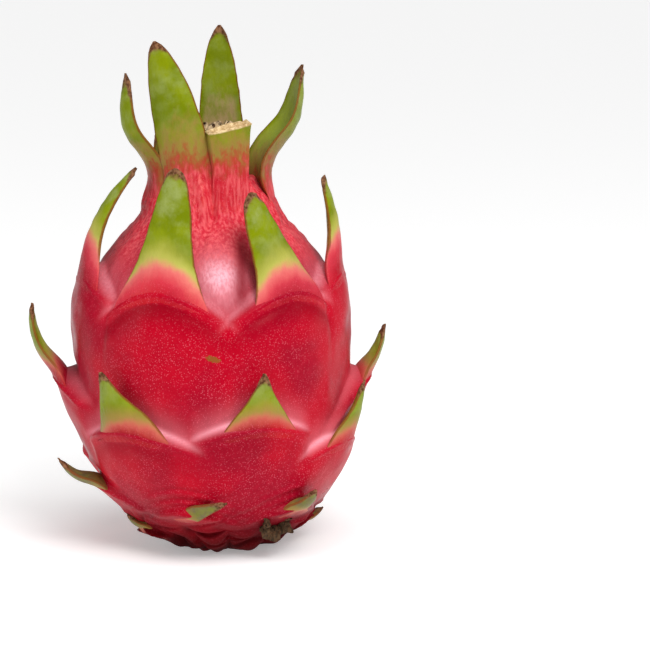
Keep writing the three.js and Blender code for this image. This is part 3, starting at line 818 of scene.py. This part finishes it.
def make_flower():
    """The dried flower: a pleated tube with a ragged edge, which stands in the cup."""
    count, rows = 96, 14
    azimuth = np.linspace(0, 2 * math.pi, count, endpoint=False)
    ragged = 2.2 * np.abs(np.sin(3.5 * azimuth + 0.6)) + 1.2 * np.sin(11 * azimuth + 2)
    ragged = ragged + 0.7 * np.sin(17 * azimuth)
    floor = BODY_HEIGHT - CUP_DEPTH + FLOWER["floor_gap"]
    rings = []
    top = BODY_HEIGHT + FLOWER["rise"] + 0.7 * ragged
    for i in range(rows + 1):
        t = i / rows
        pleats = 0.8 * np.sin(9 * azimuth + 2 * t) + 0.4 * np.sin(23 * azimuth + 5 * t)
        ring = outward(azimuth) * (FLOWER["radius"] + 1.0 * t + pleats * t)[:, None]
        ring[:, 2] = floor + (top - floor) * t
        rings.append(ring)
    for i in range(rows - 2, -1, -1):
        t = i / rows
        ring = rings[i].copy()
        ring[:, :2] *= 0.72
        rings.append(ring if i else ring * (0.3, 0.3, 1) + (0, 0, 2))
    rings = np.array(rings)
    rings[..., 0] += axis_x(BODY_HEIGHT)
    lumps = 0.5 * waves(rings, 3, 77)
    rings += unit(rings * (1, 1, 0) + 1e-9) * lumps[..., None] * smooth(rings[..., 2], 112, 118)[..., None]
    return make_mesh("dried_flower_remains", rings, {"light": 0.75 + 0 * rings[..., 0]})


def make_stem():
    """A hollow, frayed stub."""
    azimuth = np.radians(STEM["azimuth"])
    out, side = outward(azimuth), sideways(azimuth)
    droop = math.radians(STEM["droop"])
    along = out * math.cos(droop) - np.array([0, 0, 1]) * math.sin(droop)
    over = np.cross(along, side)
    end = out * STEM["out"] + np.array([0, 0, STEM["height"]])
    angle = np.linspace(0, 2 * math.pi, 72, endpoint=False)
    # Distance along the stub from its cut end, and its radius there as a share of the stub's.
    outside = [(distance, 0.8 + 0.2 * smooth(distance, -8, 0)) for distance in np.linspace(-14, 0.5, 18)]
    inside = [(0.0, 0.62), (-1.2, 0.5), (-2.6, 0.38), (-3.4, 0.15)]
    rings = []
    wheel = np.stack([np.cos(angle), np.sin(angle), 0 * angle], -1)
    for distance, share in outside + inside:
        radius = share * STEM["radius"]
        place = wheel * 5 + np.array([0, 0, 0.25 * distance])
        ragged = radius * (1 + 0.22 * waves(place, 5, 61) + 0.10 * waves(place, 2, 62))
        fraying = 1.6 * waves(place, 5, 63) + 0.8 * waves(place, 2, 64)
        frayed = distance + fraying * float(smooth(distance, -6, 0))
        section = side * (ragged * np.cos(angle))[:, None] + over * (ragged * np.sin(angle))[:, None]
        rings.append(end + along * frayed[:, None] + section)
    rings = np.array(rings)
    rings += unit(rings - rings.mean(1, keepdims=True)) * (0.45 * waves(rings, 3, 5))[..., None]
    rings[..., 2] = np.maximum(rings[..., 2], 0.2)
    return make_mesh("stem_stub_wood", rings, {"light": 0.05 + 0 * rings[..., 0]})


# --- Camera, lights and floor ---------------------------------------------------------------------
def make_camera():
    data = bpy.data.cameras.new("camera")
    camera = bpy.data.objects.new("camera", data)
    bpy.context.collection.objects.link(camera)
    distance, elevation = 0.8, math.radians(9)
    target = Vector((0.0316, 0, 0.0678))
    back = Vector((0, -math.cos(elevation), math.sin(elevation)))
    camera.location = target + back * distance
    camera.rotation_euler = (-back).to_track_quat("-Z", "Y").to_euler()
    data.sensor_width = 36
    data.lens = 146.2153846
    bpy.context.scene.camera = camera


def make_light(name, location, size, power):
    data = bpy.data.lights.new(name, "AREA")
    data.shape = "RECTANGLE"
    data.size, data.size_y = size
    data.energy = power
    light = bpy.data.objects.new(name, data)
    light.location = location
    aim = Vector((0, 0, 0.07)) - Vector(location)
    light.rotation_euler = aim.to_track_quat("-Z", "Y").to_euler()
    bpy.context.collection.objects.link(light)


def make_stage():
    # The floor starts just in front of the picture's lower edge, so the fruit doesn't mirror it.
    bpy.ops.mesh.primitive_plane_add(size=1, location=(0, 7.7, 0))
    floor = bpy.context.object
    floor.name = "floor"
    floor.scale = (16, 16, 1)
    p = Paint("floor")
    p.shader.inputs["Base Color"].default_value = (0.9, 0.9, 0.9, 1)
    p.shader.inputs["Roughness"].default_value = 0.8
    p.shader.inputs["Emission Color"].default_value = (1, 1, 1, 1)
    p.shader.inputs["Emission Strength"].default_value = 0.3
    floor.data.materials.append(p.material)
    world = bpy.data.worlds.new("world")
    world.use_nodes = True
    tree = world.node_tree
    background = tree.nodes["Background"]
    background.inputs["Color"].default_value = (1, 1, 1, 1)
    # The backdrop looks white, and lights the fruit less than a white one would.
    path = tree.nodes.new("ShaderNodeLightPath")
    strength = tree.nodes.new("ShaderNodeMapRange")
    strength.inputs["To Min"].default_value = 0.22
    strength.inputs["To Max"].default_value = 1.0
    tree.links.new(path.outputs["Is Camera Ray"], strength.inputs["Value"])
    tree.links.new(strength.outputs[0], background.inputs["Strength"])
    bpy.context.scene.world = world
    sun = bpy.data.lights.new("top", "SUN")
    sun.energy = 1.8
    sun.angle = math.radians(50)
    top = bpy.data.objects.new("top", sun)
    top.rotation_euler = Vector((-0.2, 0.55, -1.0)).to_track_quat("-Z", "Y").to_euler()
    bpy.context.collection.objects.link(top)
    make_light("key", (0.35, -0.78, 0.72), (0.40, 0.40), 5.5)
    make_light("left", (-0.85, -0.35, 0.30), (0.4, 0.7), 2.2)
    make_light("right", (0.9, -0.2, 0.4), (0.3, 0.6), 0.8)
    bpy.context.scene.view_settings.view_transform = "Standard"


make_camera()
make_stage()
SKIN, LEAF, DRIED = skin_material(), scale_material(), dried_material()
finish_piece(make_body(), SKIN, "skin", "fruit_body")
for number, node in enumerate(SCALES):
    finish_piece(make_scale(node, 100 + number), LEAF, "scale", node)
finish_piece(make_cut_scale(), LEAF, "scale", "cut_scale")
finish_piece(make_flower(), DRIED, "dried", "dried_flower")
finish_piece(make_stem(), DRIED, "dried", "stem_stub")
